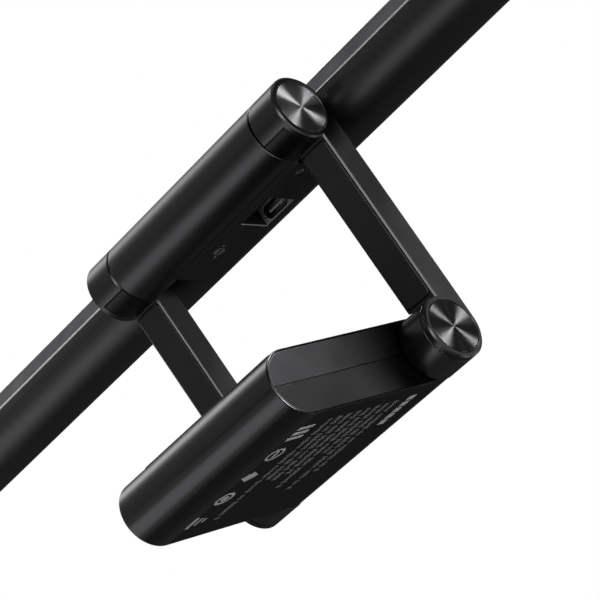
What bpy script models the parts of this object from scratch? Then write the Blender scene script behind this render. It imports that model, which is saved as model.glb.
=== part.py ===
"""Monitor light bar on a gravity clamp, as separate solids in metres.

Frame: the origin is midway between the two arms, level with the undersides of their pads and just behind
the barrel, where the monitor's top front edge lies. +X runs along the light bar, +Y runs rearward along
the arms, over the monitor, and +Z is up. The dimensions below are measured from the barrel's axis.

Three groups move against each other:
  the arm frame, which rests on the monitor,
  the lamp head (barrel, bracket and light bar), which tilts about the barrel's axis,
  the counterweight, which swings about the rear hinge and presses on the monitor's back.
"""
import math

import bmesh
import bpy
from mathutils import Matrix

MM = 0.001
GAP = 0.3 * MM                      # working gap between two neighbouring solids

# Barrel and knuckles
BARREL_RADIUS = 9.5 * MM
BARREL_BORE = 7.0 * MM
BARREL_HALF = 34.0 * MM
AXLE_RADIUS = 3.5 * MM
PAD_UNDERSIDE = 0.5 * MM
BARREL_AT = (0.0, -BARREL_RADIUS, -PAD_UNDERSIDE)

# Arms
ARM_INNER_X = 34.5 * MM
ARM_OUTER_X = 45.5 * MM
ARM_UNDERSIDE = 0.8 * MM
ARM_TOP = 9.4 * MM
ARM_END_Y = 60.2 * MM
PLATE_THICKNESS = 1.8 * MM          # the arm's outer plate, which carries the rear hinge
PLATE_RADIUS = 9.4 * MM
PAD_START_Y = 10.3 * MM
PAD_END_Y = 59.3 * MM
COVER_LOW_ANGLE = -69.5             # degrees round the barrel's axis, from +Y
COVER_DEPTH = 2.0 * MM
DISC_RADIUS = 7.9 * MM
DISC_THICKNESS = 0.7 * MM

# Rear hinge and counterweight
HINGE_Y = 70.2 * MM
HINGE_Z = -0.1 * MM
PIN_RADIUS = 3.0 * MM
WEIGHT_TILT = -6.7                  # degrees from hanging straight down, towards the monitor
WEIGHT_RADIUS = 9.5 * MM            # half the counterweight's thickness, and its round ends
WEIGHT_WALL = 1.2 * MM
WEIGHT_LENGTH = 49.9 * MM           # between the centres of its round ends
WEIGHT_HALF = 33.8 * MM
WEIGHT_OFFSET = -0.3 * MM           # its middle plane sits this far in front of the hinge
STUB_RADIUS = 9.4 * MM

# Light bar
BAR_Y = 1.4 * MM
BAR_Z = 21.1 * MM
BAR_RADIUS = 10.9 * MM
BAR_WALL = 1.4 * MM
BAR_HALF = 222.0 * MM
CAP_THICKNESS = 3.0 * MM
OUTLET_TILT = -53.0                 # degrees: turns the outlet from straight down towards the front
OUTLET_HALF_ANGLE = 26.0            # degrees of the tube that the outlet takes each side
LED_PITCH = 12.0 * MM

# Bracket with the power inlet
BRACKET_LEFT = -23.3 * MM
BRACKET_RIGHT = 33.5 * MM
FACE_TILT = -18.5                   # degrees: direction that the bracket's flat face looks in
FACE_START = 4.0 * MM               # along the face, from where it would touch the barrel
FACE_END = 16.7 * MM
POCKET_LEFT = 4.6 * MM
POCKET_RIGHT = 17.3 * MM
POCKET_START = 5.7 * MM
POCKET_CEILING = 11.1 * MM
POCKET_FRONT = 8.4 * MM
PORT_Y = 11.2 * MM
PORT_HALF_WIDTH = 4.47 * MM
PORT_HALF_HEIGHT = 1.6 * MM
PORT_DEPTH = 2.3 * MM
SCREW_X = 29.6 * MM
SCREW_ALONG = 7.6 * MM


def clear_scene():
    for old in list(bpy.data.objects):
        bpy.data.objects.remove(old, do_unlink=True)


def make_material(name, colour, metallic, roughness):
    material = bpy.data.materials.new(name)
    material.use_nodes = True
    shader = material.node_tree.nodes["Principled BSDF"]
    shader.inputs["Base Color"].default_value = (*colour, 1.0)
    shader.inputs["Metallic"].default_value = metallic
    shader.inputs["Roughness"].default_value = roughness
    material.diffuse_color = (*colour, 1.0)
    return material


# ---------------------------------------------------------------- outlines, all in the Y-Z plane

def polar(centre_y, centre_z, radius, angle):
    """A point at an angle in degrees from +Y towards +Z."""
    turn = math.radians(angle)
    return (centre_y + radius * math.cos(turn), centre_z + radius * math.sin(turn))


def arc(centre_y, centre_z, radius, start, stop, steps):
    return [polar(centre_y, centre_z, radius, start + (stop - start) * step / steps) for step in range(steps + 1)]


def circle(radius, steps=48, centre_y=0.0, centre_z=0.0):
    return arc(centre_y, centre_z, radius, 0.0, 360.0, steps)[:-1]


def stadium(radius, length, steps=16, centre_y=0.0):
    """A shape with two round ends, the upper one centred on z = 0, the lower one at z = -length."""
    top = arc(centre_y, 0.0, radius, 0.0, 180.0, steps)
    bottom = arc(centre_y, -length, radius, 180.0, 360.0, steps)
    return top + bottom


def rounded_box(y0, y1, z0, z1, radius, steps=4):
    points = arc(y1 - radius, z1 - radius, radius, 0.0, 90.0, steps)
    points += arc(y0 + radius, z1 - radius, radius, 90.0, 180.0, steps)
    points += arc(y0 + radius, z0 + radius, radius, 180.0, 270.0, steps)
    points += arc(y1 - radius, z0 + radius, radius, 270.0, 360.0, steps)
    return points


# ---------------------------------------------------------------- solids, all extruded along X

def finish_mesh(name, bm, mirrored):
    if mirrored:
        bmesh.ops.scale(bm, vec=(-1.0, 1.0, 1.0), verts=bm.verts)
    bmesh.ops.recalc_face_normals(bm, faces=bm.faces)
    mesh = bpy.data.meshes.new(name)
    bm.to_mesh(mesh)
    bm.free()
    mesh.shade_smooth()
    mesh.set_sharp_from_angle(angle=math.radians(30.0))
    return mesh


def place(name, mesh, material, parent):
    body = bpy.data.objects.new(name, mesh)
    bpy.context.scene.collection.objects.link(body)
    body.parent = parent
    if material is not None:
        mesh.materials.append(material)
    return body


def prism(name, outline, x0, x1, material, parent, mirrored=False):
    """A solid with one outline, from x0 to x1."""
    bm = bmesh.new()
    start = [bm.verts.new((x0, y, z)) for y, z in outline]
    stop = [bm.verts.new((x1, y, z)) for y, z in outline]
    bm.faces.new(list(reversed(start)))
    bm.faces.new(stop)
    for index in range(len(outline)):
        after = (index + 1) % len(outline)
        bm.faces.new((start[index], start[after], stop[after], stop[index]))
    return place(name, finish_mesh(name, bm, mirrored), material, parent)


def sleeve(name, outer, inner, x0, x1, material, parent, mirrored=False):
    """A tube with matching outer and inner outlines."""
    bm = bmesh.new()
    rings = []
    for outline, x in ((outer, x0), (outer, x1), (inner, x1), (inner, x0)):
        rings.append([bm.verts.new((x, y, z)) for y, z in outline])
    for ring in range(4):
        here = rings[ring]
        there = rings[(ring + 1) % 4]
        for index in range(len(outer)):
            after = (index + 1) % len(outer)
            bm.faces.new((here[index], here[after], there[after], there[index]))
    return place(name, finish_mesh(name, bm, mirrored), material, parent)


def bevel(body, width, angle=50.0, segments=2):
    modifier = body.modifiers.new("edges", "BEVEL")
    modifier.width = width
    modifier.segments = segments
    modifier.limit_method = "ANGLE"
    modifier.angle_limit = math.radians(angle)


def cut(body, cutter):
    cutter.hide_render = True
    cutter.display_type = "WIRE"
    modifier = body.modifiers.new("cut " + cutter.name, "BOOLEAN")
    modifier.operation = "DIFFERENCE"
    modifier.object = cutter


# ---------------------------------------------------------------- arm frame

def arm_outlines():
    """The arm's thick part, and the chain of its thin outer plate beyond the thick part's end."""
    start = math.degrees(math.asin(ARM_TOP / BARREL_RADIUS))
    stop = 360.0 + math.degrees(math.asin(ARM_UNDERSIDE / BARREL_RADIUS))
    thick = arc(0.0, 0.0, BARREL_RADIUS, start, stop, 32)
    thick += [(ARM_END_Y, ARM_UNDERSIDE), (ARM_END_Y, ARM_TOP)]
    low = 180.0 - math.degrees(math.asin((ARM_UNDERSIDE - HINGE_Z) / PLATE_RADIUS))
    plate = arc(HINGE_Y, HINGE_Z, PLATE_RADIUS, low, 450.0, 28)
    return thick, plate


def arm(name, mirrored, material, parent):
    thick, plate = arm_outlines()
    step_x = ARM_OUTER_X - PLATE_THICKNESS
    bm = bmesh.new()
    inner = [bm.verts.new((ARM_INNER_X, y, z)) for y, z in thick]
    middle = [bm.verts.new((step_x, y, z)) for y, z in thick]
    outer = [bm.verts.new((ARM_OUTER_X, y, z)) for y, z in thick]
    plate_in = [bm.verts.new((step_x, y, z)) for y, z in plate]
    plate_out = [bm.verts.new((ARM_OUTER_X, y, z)) for y, z in plate]
    bm.faces.new(list(reversed(inner)))
    for index in range(len(thick)):
        after = (index + 1) % len(thick)
        bm.faces.new((inner[index], inner[after], middle[after], middle[index]))
        if index != len(thick) - 2:
            bm.faces.new((middle[index], middle[after], outer[after], outer[index]))
    chain_in = [middle[-2], *plate_in, middle[-1]]
    chain_out = [outer[-2], *plate_out, outer[-1]]
    for index in range(len(chain_in) - 1):
        bm.faces.new((chain_in[index], chain_in[index + 1], chain_out[index + 1], chain_out[index]))
    bm.faces.new(list(reversed(chain_in)))
    bm.faces.new([*outer[:-1], *plate_out, outer[-1]])
    body = place(name, finish_mesh(name, bm, mirrored), material, parent)
    bevel(body, 0.35 * MM, angle=60.0, segments=1)
    return body


def sector(radius_in, radius_out, start, stop):
    outline = arc(0.0, 0.0, radius_out, start, stop, 16)
    outline += arc(0.0, 0.0, radius_in, stop, start, 16)
    return outline


def build_arm_side(side, mirrored, root, looks):
    step_x = ARM_OUTER_X - PLATE_THICKNESS
    body = arm("arm_" + side, mirrored, looks["arm"], root)

    pad_box = (ARM_INNER_X + 0.7 * MM, ARM_OUTER_X - 0.9 * MM, PAD_START_Y, PAD_END_Y)
    for node, grow, low, high, look in (
        ("cutter_pad_" + side, GAP, -1.0 * MM, 1.6 * MM, None),
        ("arm_pad_" + side, 0.0, PAD_UNDERSIDE, 1.3 * MM, looks["silicone"]),
    ):
        outline = rounded_box(pad_box[2] - grow, pad_box[3] + grow, pad_box[0] - grow, pad_box[1] + grow,
                              1.2 * MM + grow)
        pad = prism(node, outline, low, high, look, root)
        pad.data.transform(Matrix(((0, 0, -1 if mirrored else 1, 0), (0, 1, 0, 0), (1, 0, 0, 0), (0, 0, 0, 1))))
        if not mirrored:
            pad.data.flip_normals()
        if look is None:
            cut(body, pad)

    cover_cut = prism("cutter_cover_" + side, sector(BARREL_RADIUS - COVER_DEPTH - GAP, 11.0 * MM,
                      COVER_LOW_ANGLE - 1.0, 0.0), ARM_INNER_X - 1.0 * MM, step_x, None, root, mirrored)
    cut(body, cover_cut)
    prism("knuckle_cover_" + side, sector(BARREL_RADIUS - COVER_DEPTH, BARREL_RADIUS - 0.05 * MM,
          COVER_LOW_ANGLE + 1.0, -2.0), ARM_INNER_X, step_x - GAP, looks["arm"], root, mirrored)

    bore = prism("cutter_axle_" + side, circle(AXLE_RADIUS + GAP, 24), ARM_INNER_X - 1.0 * MM,
                 ARM_OUTER_X - 1.9 * MM, None, root, mirrored)
    cut(body, bore)

    for place_name, y, z in (("front", 0.0, 0.0), ("rear", HINGE_Y, HINGE_Z)):
        recess = prism("cutter_disc_" + place_name + "_" + side, circle(DISC_RADIUS + GAP, 36, y, z),
                       ARM_OUTER_X - DISC_THICKNESS - GAP, ARM_OUTER_X + 1.0 * MM, None, root, mirrored)
        cut(body, recess)
        disc = prism("disc_" + place_name + "_" + side, circle(DISC_RADIUS, 36), -DISC_THICKNESS, 0.0,
                     looks["disc"], root, mirrored)
        disc.location = (-ARM_OUTER_X if mirrored else ARM_OUTER_X, y, z)
        bevel(disc, 0.12 * MM, segments=1)

    pin = prism("rear_hinge_pin_" + side, circle(PIN_RADIUS, 24), 24.0 * MM, step_x - GAP, looks["steel"],
                root, mirrored)
    pin.location = (0.0, HINGE_Y, HINGE_Z)


def build_arm_frame(looks):
    root = bpy.data.objects.new("arm_frame", None)
    bpy.context.scene.collection.objects.link(root)
    root.location = BARREL_AT
    for side, mirrored in (("right", False), ("left", True)):
        build_arm_side(side, mirrored, root, looks)
    axle_half = ARM_OUTER_X - 2.2 * MM
    prism("tilt_axle", circle(AXLE_RADIUS, 24), -axle_half, axle_half, looks["steel"], root)


# ---------------------------------------------------------------- lamp head

def face_point(along, out=0.0):
    """A point on the bracket's flat face, as (y, z)."""
    normal = (math.cos(math.radians(FACE_TILT)), math.sin(math.radians(FACE_TILT)))
    up = (-normal[1], normal[0])
    reach = BARREL_RADIUS + out
    return (normal[0] * reach + up[0] * along, normal[1] * reach + up[1] * along)


def bracket_outline():
    barrel = BARREL_RADIUS + GAP
    saddle = BAR_RADIUS + GAP
    start = face_point(FACE_START)
    low_angle = math.degrees(math.atan2(start[1], start[0]))
    tip_y = 3.6 * MM
    tip_angle = math.degrees(math.acos(tip_y / barrel))
    saddle_low = math.degrees(math.acos((tip_y - BAR_Y) / saddle))
    saddle_high = 15.0
    outline = arc(0.0, 0.0, barrel, tip_angle, low_angle, 14)
    outline += [start, face_point(FACE_END)]
    outline += [polar(BAR_Y, BAR_Z, saddle + 0.5 * MM, -saddle_high - 2.0)]
    outline += arc(BAR_Y, BAR_Z, saddle, -saddle_high, -saddle_low, 14)
    return list(reversed(outline))


def pocket_outline():
    """The inlet's pocket in the Y-Z plane: a level ceiling, an upright front wall and a sloping floor."""
    floor = face_point(POCKET_START, 1.0 * MM)
    wall_low = math.sqrt((BARREL_RADIUS + GAP + 1.0 * MM) ** 2 - POCKET_FRONT ** 2)
    return [
        (POCKET_FRONT, POCKET_CEILING),
        (POCKET_FRONT, wall_low),
        face_point(POCKET_START, 0.0),
        floor,
        (20.0 * MM, floor[1]),
        (20.0 * MM, POCKET_CEILING),
    ]


def port_outline(grow):
    """An oval in the plane that a vertical extrusion uses, wide along X."""
    radius = PORT_HALF_HEIGHT + grow
    reach = PORT_HALF_WIDTH - PORT_HALF_HEIGHT
    right = arc(0.0, reach, radius, 0.0, 180.0, 12)
    left = arc(0.0, -reach, radius, 180.0, 360.0, 12)
    return right + left


def upright(body, x, y, z):
    """Turns a solid extruded along X so that it stands along +Z, its wide side along X."""
    body.matrix_local = Matrix(((0, 0, -1, x), (0, 1, 0, y), (1, 0, 0, z), (0, 0, 0, 1)))


def build_bracket(head, looks):
    bracket = prism("bracket_housing", bracket_outline(), BRACKET_LEFT, BRACKET_RIGHT, looks["plastic"], head)
    bevel(bracket, 0.25 * MM, angle=35.0)

    pocket = prism("cutter_pocket", pocket_outline(), POCKET_LEFT, POCKET_RIGHT, None, head)
    cut(bracket, pocket)

    port_x = 0.5 * (POCKET_LEFT + POCKET_RIGHT)
    hole = prism("cutter_port", port_outline(GAP), -1.0 * MM, 8.0 * MM, None, head)
    upright(hole, port_x, PORT_Y, POCKET_CEILING)
    cut(bracket, hole)

    shell = prism("usb_c_shell", port_outline(0.0), 0.0, PORT_DEPTH, looks["shell"], head)
    upright(shell, port_x, PORT_Y, POCKET_CEILING + 0.05 * MM)
    hollow = prism("cutter_shell", port_outline(-0.3 * MM), -1.0 * MM, PORT_DEPTH - 0.4 * MM, None, head)
    upright(hollow, port_x, PORT_Y, POCKET_CEILING + 0.05 * MM)
    cut(shell, hollow)

    tongue_outline = rounded_box(-0.35 * MM, 0.35 * MM, -3.3 * MM, 3.3 * MM, 0.2 * MM, 2)
    tongue = prism("usb_c_tongue", tongue_outline, 0.3 * MM, PORT_DEPTH - 0.7 * MM, looks["tongue"], head)
    upright(tongue, port_x, PORT_Y, POCKET_CEILING + 0.05 * MM)

    turn = Matrix.Rotation(math.radians(90.0), 4, "Z")
    lean = Matrix.Rotation(math.radians(FACE_TILT), 4, "X")
    y, z = face_point(SCREW_ALONG)
    seat = Matrix.Translation((SCREW_X, y, z)) @ lean @ turn
    screw_bore = prism("cutter_screw", circle(1.6 * MM, 24), -1.5 * MM, 1.0 * MM, None, head)
    screw_bore.matrix_local = seat
    cut(bracket, screw_bore)
    screw = prism("bracket_screw", circle(1.3 * MM, 24), -1.2 * MM, -0.2 * MM, looks["steel"], head)
    screw.matrix_local = seat
    bevel(screw, 0.15 * MM, segments=1)
    socket = prism("cutter_socket", circle(0.7 * MM, 6), -0.7 * MM, 1.0 * MM, None, head)
    socket.matrix_local = seat
    cut(screw, socket)


def bar_outline():
    """The tube's section, open at the light outlet, which faces local -Z."""
    low = -90.0 + OUTLET_HALF_ANGLE
    high = 270.0 - OUTLET_HALF_ANGLE
    inner_radius = BAR_RADIUS - BAR_WALL
    inner_half = math.degrees(math.asin(BAR_RADIUS * math.sin(math.radians(OUTLET_HALF_ANGLE)) / inner_radius))
    outer = arc(0.0, 0.0, BAR_RADIUS, low, high, 44)
    inner = arc(0.0, 0.0, inner_radius, 270.0 - inner_half, -90.0 + inner_half, 36)
    return outer + inner


def lens_outline():
    half = BAR_RADIUS * math.sin(math.radians(OUTLET_HALF_ANGLE)) - GAP
    front = -BAR_RADIUS * math.cos(math.radians(OUTLET_HALF_ANGLE)) + 0.1 * MM
    inner_radius = BAR_RADIUS - BAR_WALL
    back = front + 2.9 * MM
    flange = front + 1.9 * MM
    flange_half = math.sqrt((inner_radius - GAP) ** 2 - flange ** 2)
    return [
        (-half, front), (half, front), (half, flange), (flange_half, flange), (flange_half, back),
        (-flange_half, back), (-flange_half, flange), (-half, flange),
    ]


def led_strip(name, half_length, material, parent):
    """A circuit strip with raised lamp packages along it, one closed body."""
    bm = bmesh.new()
    count = int(2 * half_length // LED_PITCH)
    edges = [-half_length]
    for index in range(count):
        centre = (index - 0.5 * (count - 1)) * LED_PITCH
        edges += [centre - 1.4 * MM, centre + 1.4 * MM]
    edges.append(half_length)
    widths = [-4.2 * MM, -1.4 * MM, 1.4 * MM, 4.2 * MM]
    grid = [[bm.verts.new((x, y, 0.0)) for y in widths] for x in edges]
    lamps = []
    for i in range(len(edges) - 1):
        for j in range(3):
            face = bm.faces.new((grid[i][j], grid[i][j + 1], grid[i + 1][j + 1], grid[i + 1][j]))
            if i % 2 == 1 and j == 1:
                lamps.append(face)
    skin = list(bm.faces)
    back = bmesh.ops.extrude_face_region(bm, geom=skin)
    moved = [item for item in back["geom"] if isinstance(item, bmesh.types.BMVert)]
    bmesh.ops.translate(bm, verts=moved, vec=(0.0, 0.0, 1.0 * MM))
    for face in lamps:
        raised = bmesh.ops.extrude_discrete_faces(bm, faces=[face])
        bmesh.ops.translate(bm, verts=raised["faces"][0].verts, vec=(0.0, 0.0, -0.7 * MM))
    return place(name, finish_mesh(name, bm, False), material, parent)


def build_bar(head, looks):
    axis = bpy.data.objects.new("bar_axis", None)
    bpy.context.scene.collection.objects.link(axis)
    axis.parent = head
    axis.location = (0.0, BAR_Y, BAR_Z)
    axis.rotation_euler = (math.radians(OUTLET_TILT), 0.0, 0.0)

    tube = prism("bar_tube", bar_outline(), -BAR_HALF + GAP, BAR_HALF - GAP, looks["anodised"], axis)
    bevel(tube, 0.2 * MM, angle=60.0, segments=1)
    prism("diffuser_lens", lens_outline(), -BAR_HALF + GAP, BAR_HALF - GAP, looks["lens"], axis)
    lamps = led_strip("led_strip", BAR_HALF - 6.0 * MM, looks["board"], axis)
    lamps.location = (0.0, 0.0, -4.2 * MM)
    prism("led_rail", rounded_box(-6.8 * MM, 6.8 * MM, -2.9 * MM, -0.9 * MM, 0.4 * MM, 2),
          -BAR_HALF + 4.0 * MM, BAR_HALF - 4.0 * MM, looks["aluminium"], axis)
    prism("control_board", rounded_box(-6.0 * MM, 6.0 * MM, 1.5 * MM, 2.7 * MM, 0.2 * MM, 2),
          -36.0 * MM, 36.0 * MM, looks["board"], axis)

    top = Matrix.Rotation(math.radians(-OUTLET_TILT), 4, "X")
    flat = BAR_RADIUS - 0.9 * MM
    recess = prism("cutter_touch", rounded_box(-3.4 * MM, 3.4 * MM, -30.0 * MM, 30.0 * MM, 3.3 * MM), flat,
                   flat + 3.0 * MM, None, axis)
    panel = prism("touch_panel", rounded_box(-3.1 * MM, 3.1 * MM, -29.7 * MM, 29.7 * MM, 3.0 * MM), flat + GAP,
                  flat + 0.75 * MM, looks["gloss"], axis)
    stand = Matrix(((0, 0, -1, 0), (0, 1, 0, 0), (1, 0, 0, 0), (0, 0, 0, 1)))
    for body in (recess, panel):
        body.matrix_local = top @ stand
    cut(tube, recess)

    for side, mirrored in (("right", False), ("left", True)):
        cap = prism("end_cap_" + side, circle(BAR_RADIUS, 48), 0.0, CAP_THICKNESS, looks["plastic"], axis,
                    mirrored)
        cap.location = (-BAR_HALF if mirrored else BAR_HALF, 0.0, 0.0)
        bevel(cap, 0.6 * MM, segments=2)


def build_head(looks):
    head = bpy.data.objects.new("head_pivot", None)
    bpy.context.scene.collection.objects.link(head)
    head.location = BARREL_AT
    barrel = sleeve("barrel_sleeve", circle(BARREL_RADIUS, 48), circle(BARREL_BORE, 48), -BARREL_HALF,
                    BARREL_HALF, looks["anodised"], head)
    bevel(barrel, 0.3 * MM, segments=1)
    for side, mirrored in (("right", False), ("left", True)):
        sleeve("friction_sleeve_" + side, circle(BARREL_BORE - GAP, 32), circle(AXLE_RADIUS + GAP, 32),
               24.0 * MM, BARREL_HALF, looks["bush"], head, mirrored)
    build_bracket(head, looks)
    build_bar(head, looks)


# ---------------------------------------------------------------- counterweight

def half_stadium(radius, length, side):
    """Half of a stadium outline, cut along its middle plane with half a gap kept clear of it."""
    edge = 0.5 * GAP
    lean = math.degrees(math.asin(edge / radius))
    if side > 0:
        top = arc(0.0, 0.0, radius, 0.0, 90.0 - lean, 10)
        bottom = arc(0.0, -length, radius, -90.0 + lean, 0.0, 10)
        return bottom + top
    top = arc(0.0, 0.0, radius, 90.0 + lean, 180.0, 10)
    bottom = arc(0.0, -length, radius, 180.0, 270.0 - lean, 10)
    return top + bottom


def build_weight_side(side, mirrored, axis, middle, looks):
    pin_bore = prism("cutter_pin_" + side, circle(PIN_RADIUS + GAP, 24), 20.0 * MM, 40.0 * MM, None, axis,
                     mirrored)
    for half, sign in (("rear", 1), ("front", -1)):
        cap = prism("weight_cap_" + half + "_" + side,
                    half_stadium(WEIGHT_RADIUS - WEIGHT_WALL - GAP, WEIGHT_LENGTH, sign),
                    WEIGHT_HALF - 2.4 * MM, WEIGHT_HALF - 0.1 * MM, looks["plastic"], middle, mirrored)
        cut(cap, pin_bore)
    stub = sleeve("hinge_stub_" + side, circle(STUB_RADIUS, 48), circle(PIN_RADIUS + GAP, 48),
                  WEIGHT_HALF + GAP, ARM_OUTER_X - PLATE_THICKNESS - GAP, looks["anodised"], axis, mirrored)
    bevel(stub, 0.2 * MM, segments=1)


def build_counterweight(looks):
    axis = bpy.data.objects.new("counterweight_pivot", None)
    bpy.context.scene.collection.objects.link(axis)
    axis.location = (0.0, BARREL_AT[1] + HINGE_Y, BARREL_AT[2] + HINGE_Z)
    axis.rotation_euler = (math.radians(WEIGHT_TILT), 0.0, 0.0)
    middle = bpy.data.objects.new("counterweight_middle", None)
    bpy.context.scene.collection.objects.link(middle)
    middle.parent = axis
    middle.location = (0.0, WEIGHT_OFFSET, 0.0)

    inner = WEIGHT_RADIUS - WEIGHT_WALL
    shell = sleeve("weight_sleeve", stadium(WEIGHT_RADIUS, WEIGHT_LENGTH), stadium(inner, WEIGHT_LENGTH),
                   -WEIGHT_HALF, WEIGHT_HALF, looks["anodised"], middle)
    bevel(shell, 0.35 * MM)
    for side, mirrored in (("right", False), ("left", True)):
        build_weight_side(side, mirrored, axis, middle, looks)

    steel = prism("steel_weight", rounded_box(-7.0 * MM, 7.0 * MM, -WEIGHT_LENGTH - 4.0 * MM, -8.0 * MM,
                  2.0 * MM), -31.0 * MM, 31.0 * MM, looks["steel"], middle)
    bevel(steel, 0.4 * MM, segments=1)

    face = -WEIGHT_RADIUS - GAP
    pad = prism("weight_grip_pad", rounded_box(face - 0.9 * MM, face, -WEIGHT_LENGTH + 1.0 * MM, -12.0 * MM,
                0.3 * MM, 2), -29.0 * MM, 29.0 * MM, looks["silicone"], middle)
    bevel(pad, 0.2 * MM, segments=1)


def build():
    clear_scene()
    looks = {
        "anodised": make_material("anodised_black", (0.022, 0.022, 0.024), 1.0, 0.34),
        "arm": make_material("arm_black", (0.030, 0.030, 0.032), 1.0, 0.38),
        "plastic": make_material("matt_black_plastic", (0.012, 0.012, 0.013), 0.0, 0.55),
        "silicone": make_material("dark_silicone", (0.020, 0.020, 0.021), 0.0, 0.75),
        "disc": make_material("brushed_disc", (0.20, 0.20, 0.21), 1.0, 0.28),
        "lens": make_material("smoked_diffuser", (0.085, 0.085, 0.090), 0.0, 0.60),
        "gloss": make_material("touch_gloss", (0.010, 0.010, 0.011), 0.0, 0.12),
        "steel": make_material("plain_steel", (0.42, 0.42, 0.43), 1.0, 0.35),
        "aluminium": make_material("plain_aluminium", (0.60, 0.61, 0.62), 1.0, 0.40),
        "board": make_material("white_circuit_board", (0.75, 0.75, 0.72), 0.0, 0.50),
        "bush": make_material("grey_bush", (0.12, 0.12, 0.12), 0.0, 0.50),
        "shell": make_material("port_shell", (0.30, 0.30, 0.31), 1.0, 0.30),
        "tongue": make_material("port_tongue", (0.10, 0.10, 0.10), 0.0, 0.45),
    }
    build_arm_frame(looks)
    build_head(looks)
    build_counterweight(looks)


build()
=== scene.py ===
"""Looks for the monitor light bar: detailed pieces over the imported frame, materials, soft studio light, camera.

Shapes are worked out in millimetres from the barrel's axis, midway between the arms: X along the light bar,
Y rearward over the monitor, Z up. Angles are in degrees. emit() scales a shape to metres and moves it to the
barrel's place.
"""
import math
import random

import bmesh
import bpy
from mathutils import Matrix, Vector


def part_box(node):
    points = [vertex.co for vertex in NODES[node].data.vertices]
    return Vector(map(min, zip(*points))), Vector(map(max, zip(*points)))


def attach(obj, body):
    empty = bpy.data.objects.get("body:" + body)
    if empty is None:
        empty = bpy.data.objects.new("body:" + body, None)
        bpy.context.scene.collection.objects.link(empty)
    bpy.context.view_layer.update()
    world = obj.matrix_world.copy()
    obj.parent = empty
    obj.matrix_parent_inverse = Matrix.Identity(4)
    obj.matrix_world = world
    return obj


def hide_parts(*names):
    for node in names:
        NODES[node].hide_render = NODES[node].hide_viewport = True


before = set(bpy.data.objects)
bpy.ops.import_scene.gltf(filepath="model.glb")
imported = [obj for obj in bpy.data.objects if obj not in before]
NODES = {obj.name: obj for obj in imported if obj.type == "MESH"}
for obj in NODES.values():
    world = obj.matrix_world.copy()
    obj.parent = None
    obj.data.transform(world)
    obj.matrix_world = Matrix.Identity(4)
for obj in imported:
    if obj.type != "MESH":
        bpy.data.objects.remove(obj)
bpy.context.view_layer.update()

MM = 0.001
SIDES = (("right", False), ("left", True))      # the left pieces are the right ones mirrored


def box_centre(node):
    low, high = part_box(node)
    return (low + high) / 2


def half_size(node):
    low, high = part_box(node)
    return (high - low) / (2 * MM)


BARREL_AT = box_centre("barrel_sleeve")         # in metres, in the row frame
HINGE = (box_centre("disc_rear_right") - BARREL_AT) / MM

BARREL_R = half_size("barrel_sleeve").z
BARREL_HALF = half_size("barrel_sleeve").x
BARREL_BORE = 7.0

ARM_IN = (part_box("arm_right")[0].x - BARREL_AT.x) / MM
ARM_OUT = (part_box("arm_right")[1].x - BARREL_AT.x) / MM
ARM_LOW = 0.8
ARM_TOP = 9.4
ARM_END = 60.2                                  # the thick part ends here and the thin plate goes on
ARM_CHAMFER = 0.42
PLATE = 1.8                                     # thickness of the plate with the rear eye
PLATE_R = 9.4
DISC_R = half_size("disc_rear_right").z
AXLE_BORE_R = 3.8

PAD_Y = (10.3, 59.3)
PAD_X = (35.2, 44.6)
PAD_Z = (0.5, 1.3)
PAD_CORNER = 1.2

COVER_ARC = (-68.7, -2.0)                       # start and stop of the knuckle's cover round the barrel's axis
COVER_GAP_ARC = (-70.4, 1.0)

BAR_AXIS = (1.4, 21.1)                          # y, z
BAR_R = half_size("end_cap_left").z
BAR_WALL = 1.4
BAR_TURN = -53.0                                # turns the light outlet from straight down to the front
BAR_HALF = 222.0
OUTLET_ANGLE = 26.0                             # from the outlet's middle to its edge
OUTLET_HALF = BAR_R * math.sin(math.radians(OUTLET_ANGLE))
OUTLET_DROP = BAR_R * math.cos(math.radians(OUTLET_ANGLE))

FACE_TILT = -18.5                               # of the normal of the bracket's flat face, from +Y
BRACKET_X = (-23.3, 33.5)
BRACKET_TIP_Y = 3.6
FACE_SPAN = (1.7, 16.7)                         # the flat face's edges, along it from the barrel's tangent point
POCKET_X = (4.6, 17.3)
POCKET_CEILING = 11.1
POCKET_FRONT = 8.4
POCKET_FLOOR = 5.7                              # the floor's edge, along the flat face
PORT_AT = (10.95, 11.2)                         # x, y
PORT_R = 1.6
PORT_ARM = 2.87                                 # from the inlet's middle to the middle of each round end
SCREW_AT = (29.6, 7.6)                          # x, along the flat face

WEIGHT_TILT = -6.7
WEIGHT_R = 9.5
WEIGHT_WALL = 0.55
WEIGHT_DROP = 49.9                              # between the middles of the two round ends
WEIGHT_HALF = half_size("weight_sleeve").x
WEIGHT_MIDDLE = -0.3                            # the section's middle, in y from the hinge
BOSS_R = 9.4
PIN_BORE_R = 3.3

PRINT_HEIGHT = 0.03
SQUARE_ON = 0.999                               # a face looks along an axis if its normal has at least this of it
SHARP_ANGLE = 20.0                              # steeper edges are shaded sharp


# ---------------------------------------------------------------- outlines in the Y-Z plane

def polar(y, z, radius, angle):
    turn = math.radians(angle)
    return (y + radius * math.cos(turn), z + radius * math.sin(turn))


def arc(y, z, radius, start, stop, steps):
    return [polar(y, z, radius, start + (stop - start) * i / steps) for i in range(steps + 1)]


def circle(radius, steps):
    return arc(0.0, 0.0, radius, 0.0, 360.0, steps)[:-1]


def stadium(radius):
    """The counterweight's section: two half circles, one above the other."""
    return arc(0.0, 0.0, radius, 0.0, 180.0, 48) + arc(0.0, -WEIGHT_DROP, radius, 180.0, 360.0, 48)


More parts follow.
